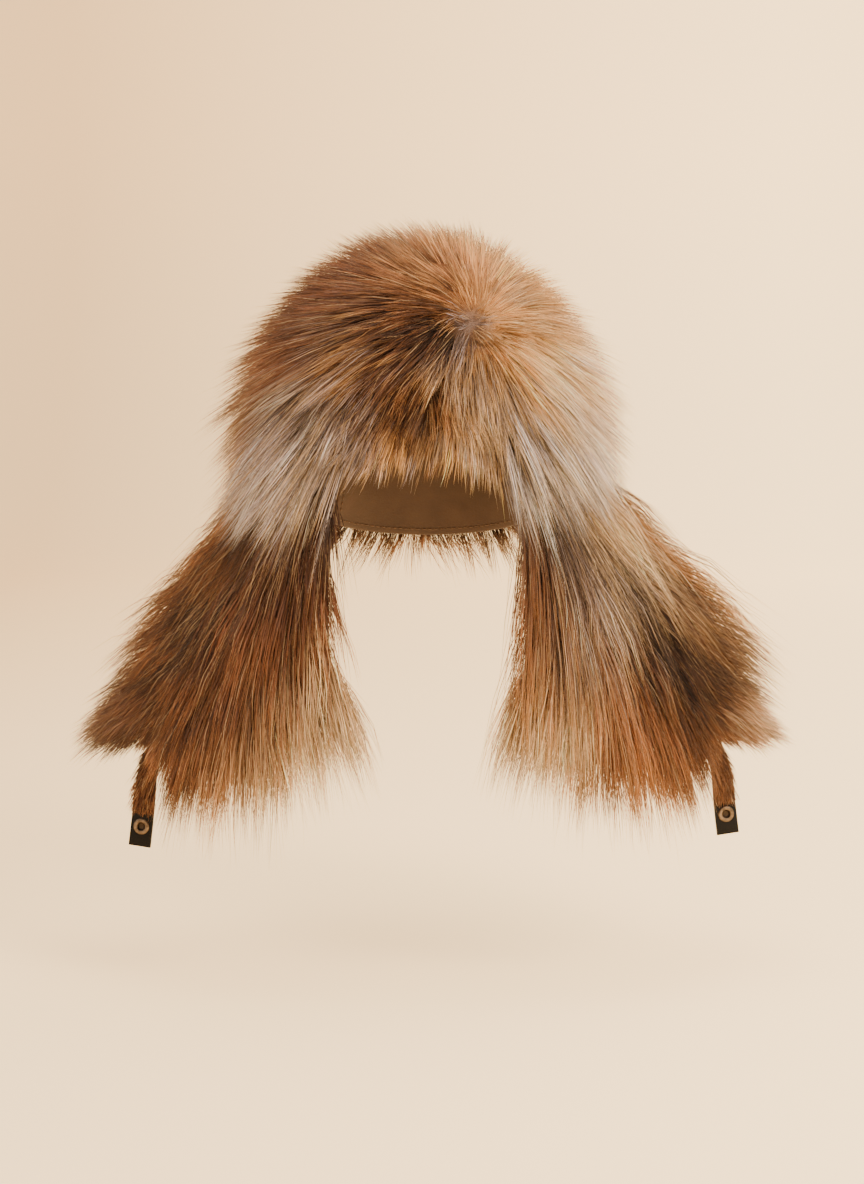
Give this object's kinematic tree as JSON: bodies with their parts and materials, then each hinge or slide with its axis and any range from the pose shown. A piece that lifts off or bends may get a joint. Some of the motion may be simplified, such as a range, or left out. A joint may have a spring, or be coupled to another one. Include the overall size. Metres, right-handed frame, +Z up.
{
  "type": "fur ushanka",
  "caption": "Long-haired fur ushanka with its ear flaps down: a hollow crown, a turned-up visor, two flared ear flaps, a nape flap and short leather straps with press studs.",
  "frame": {"origin": "the head seat: the middle of the rim of the crown, where the hat sits on a head", "axes": "+Z up out of the crown, -Y out of the front over the visor, +X towards the right-hand flap as seen from the front"},
  "size_m": [0.5507, 0.34, 0.4488],
  "materials": {
    "fox_gold": "long golden-brown fox hair with pale lilac-grey tips",
    "fox_rust": "long rust-brown fox hair with dark streaks and cream underfur",
    "hide_brown": "plain dark brown leather, soft and matte",
    "hide_black": "black strap leather with a cut edge",
    "old_brass": "dull antique brass, darkened in the recesses"
  },
  "bodies": {
    "root": {"crown_shell": "hide_brown", "crown_fur": "fox_gold", "visor_panel": "hide_brown", "visor_fur": "fox_gold", "nape_flap": "hide_brown", "nape_flap_fur": "fox_rust", "ear_flap_left": "hide_brown", "ear_flap_left_fur": "fox_rust", "ear_flap_right": "hide_brown", "ear_flap_right_fur": "fox_rust", "strap_left": "hide_black", "strap_fur_left": "fox_rust", "press_stud_left": "old_brass", "strap_right": "hide_black", "strap_fur_right": "fox_rust", "press_stud_right": "old_brass"}
  },
  "joints": []
}
